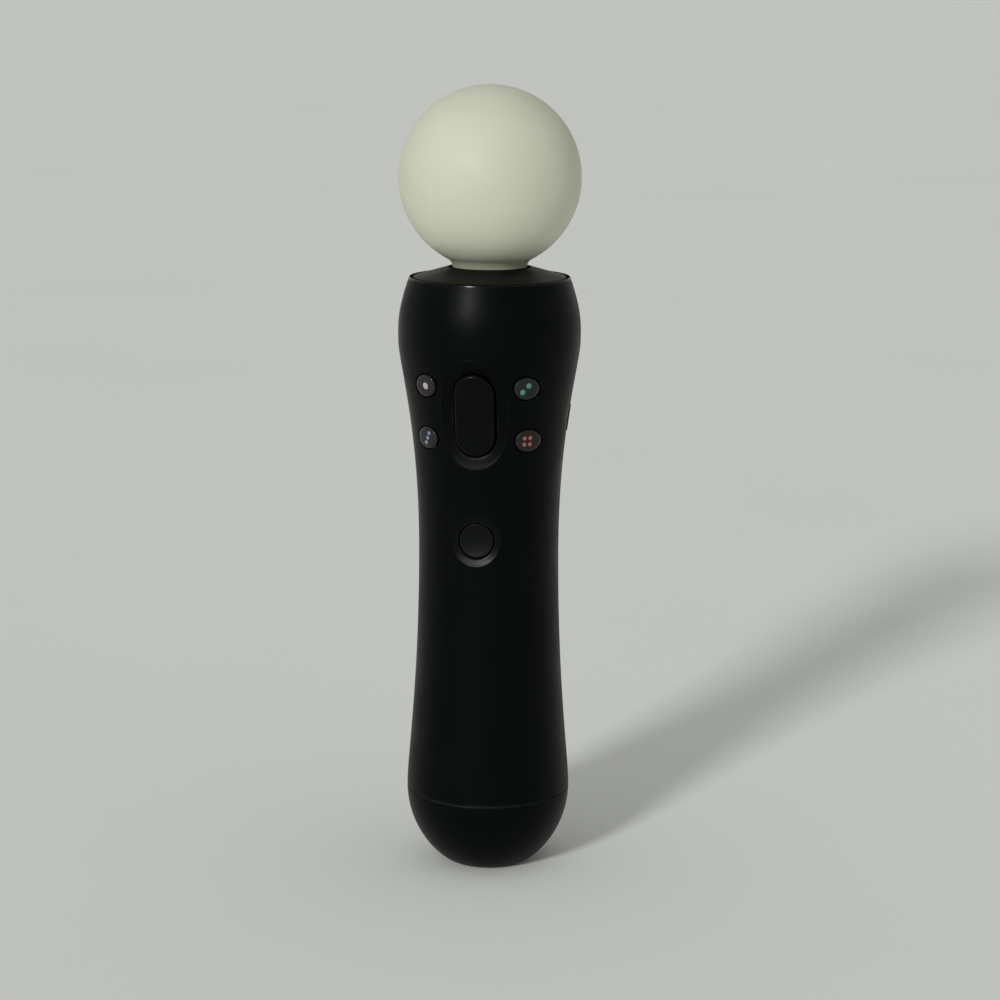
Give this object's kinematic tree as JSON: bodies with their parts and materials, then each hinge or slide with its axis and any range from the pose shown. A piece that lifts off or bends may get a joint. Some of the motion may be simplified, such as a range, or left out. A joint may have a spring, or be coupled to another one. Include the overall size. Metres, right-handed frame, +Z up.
{
  "type": "motion controller wand",
  "caption": "Handheld motion controller wand with a light globe, a waisted grip, press buttons on the front and a trigger behind, made as an assembly with its inner works.",
  "frame": {"origin": "centre of the flat base, on the surface that the wand stands on", "axes": "+Z up along the wand's axis, -Y the front with the buttons, +X to the right seen from the front"},
  "size_m": [0.046, 0.046, 0.1999],
  "materials": {
    "shell": "satin black moulded plastic",
    "plate": "fine matt dark grey plastic",
    "globe": "translucent ivory soft plastic",
    "white_plastic": "white plastic",
    "clear_plastic": "clear plastic",
    "button_cap": "gloss smoked plastic",
    "trigger_plastic": "gloss black plastic",
    "board": "green board lacquer",
    "chip": "black epoxy",
    "ribbon": "amber film",
    "steel": "plated steel",
    "brass": "gold plated",
    "membrane": "matt silicone rubber",
    "frame": "grey moulded plastic",
    "cell": "blue shrink film",
    "lead": "insulated lead"
  },
  "bodies": {
    "casing": {"front_shell": "shell", "rear_shell": "shell", "end_cap": "shell", "top_plate": "plate", "light_globe": "globe", "globe_seat": "white_plastic", "color_led": "white_plastic", "board_connectors": "white_plastic", "light_guide": "clear_plastic", "light_board": "board", "main_board": "board", "rear_board": "board", "port_board": "board", "processor_chip": "chip", "motion_sensors": "chip", "side_switches": "chip", "reset_switch": "chip", "extension_socket": "chip", "light_ribbon": "ribbon", "port_ribbon": "ribbon", "seat_screws": "steel", "light_board_screws": "steel", "board_screws": "steel", "rear_board_screws": "steel", "port_board_screws": "steel", "case_screws": "steel", "trigger_pin": "steel", "trigger_spring": "steel", "motor_can": "steel", "radio_module": "steel", "usb_socket": "steel", "charge_contacts": "brass", "button_membrane": "membrane", "trigger_dome": "membrane", "inner_frame": "frame", "battery_cell": "cell", "battery_leads": "lead"},
    "center_button": {"center_button": "button_cap"},
    "upper_left_button": {"upper_left_button": "button_cap"},
    "upper_right_button": {"upper_right_button": "button_cap"},
    "lower_left_button": {"lower_left_button": "button_cap"},
    "lower_right_button": {"lower_right_button": "button_cap"},
    "home_button": {"home_button": "button_cap"},
    "left_side_button": {"left_side_button": "button_cap"},
    "right_side_button": {"right_side_button": "button_cap"},
    "trigger": {"trigger": "trigger_plastic"},
    "reset_plunger": {"reset_plunger": "button_cap"},
    "motor_rotor": {"motor_shaft": "steel", "eccentric_weight": "brass"}
  },
  "joints": [
    {"name": "center_press", "type": "slide", "parent": "casing", "child": "center_button", "axis": [0, 1, 0], "range_m": [0, 0.0012], "stiffness_N_per_m": 1500, "deforming": ["button_membrane"]},
    {"name": "upper_left_press", "type": "slide", "parent": "casing", "child": "upper_left_button", "axis": [0, 1, 0], "range_m": [0, 0.001], "stiffness_N_per_m": 1500, "deforming": ["button_membrane"]},
    {"name": "upper_right_press", "type": "slide", "parent": "casing", "child": "upper_right_button", "axis": [0, 1, 0], "range_m": [0, 0.001], "stiffness_N_per_m": 1500, "deforming": ["button_membrane"]},
    {"name": "lower_left_press", "type": "slide", "parent": "casing", "child": "lower_left_button", "axis": [0, 1, 0], "range_m": [0, 0.001], "stiffness_N_per_m": 1500, "deforming": ["button_membrane"]},
    {"name": "lower_right_press", "type": "slide", "parent": "casing", "child": "lower_right_button", "axis": [0, 1, 0], "range_m": [0, 0.001], "stiffness_N_per_m": 1500, "deforming": ["button_membrane"]},
    {"name": "home_press", "type": "slide", "parent": "casing", "child": "home_button", "axis": [0, 1, 0], "range_m": [0, 0.0008], "stiffness_N_per_m": 1500, "deforming": ["button_membrane"]},
    {"name": "left_side_press", "type": "slide", "parent": "casing", "child": "left_side_button", "axis": [1, 0, 0], "range_m": [0, 0.0006], "stiffness_N_per_m": 2000},
    {"name": "right_side_press", "type": "slide", "parent": "casing", "child": "right_side_button", "axis": [-1, 0, 0], "range_m": [0, 0.0006], "stiffness_N_per_m": 2000},
    {"name": "reset_press", "type": "slide", "parent": "casing", "child": "reset_plunger", "axis": [0, -1, 0], "range_m": [0, 0.0005], "stiffness_N_per_m": 2000},
    {"name": "trigger_pull", "type": "hinge", "parent": "casing", "child": "trigger", "pos_m": [0, 0.01555, 0.1215], "axis": [-1, 0, 0], "range_deg": [0, 12], "stiffness_Nm_per_rad": 0.06, "deforming": ["trigger_spring", "trigger_dome"]},
    {"name": "rotor_spin", "type": "hinge", "parent": "casing", "child": "motor_rotor", "pos_m": [0, 0.0039, 0.0341], "axis": [0, 0, 1], "continuous": true}
  ]
}
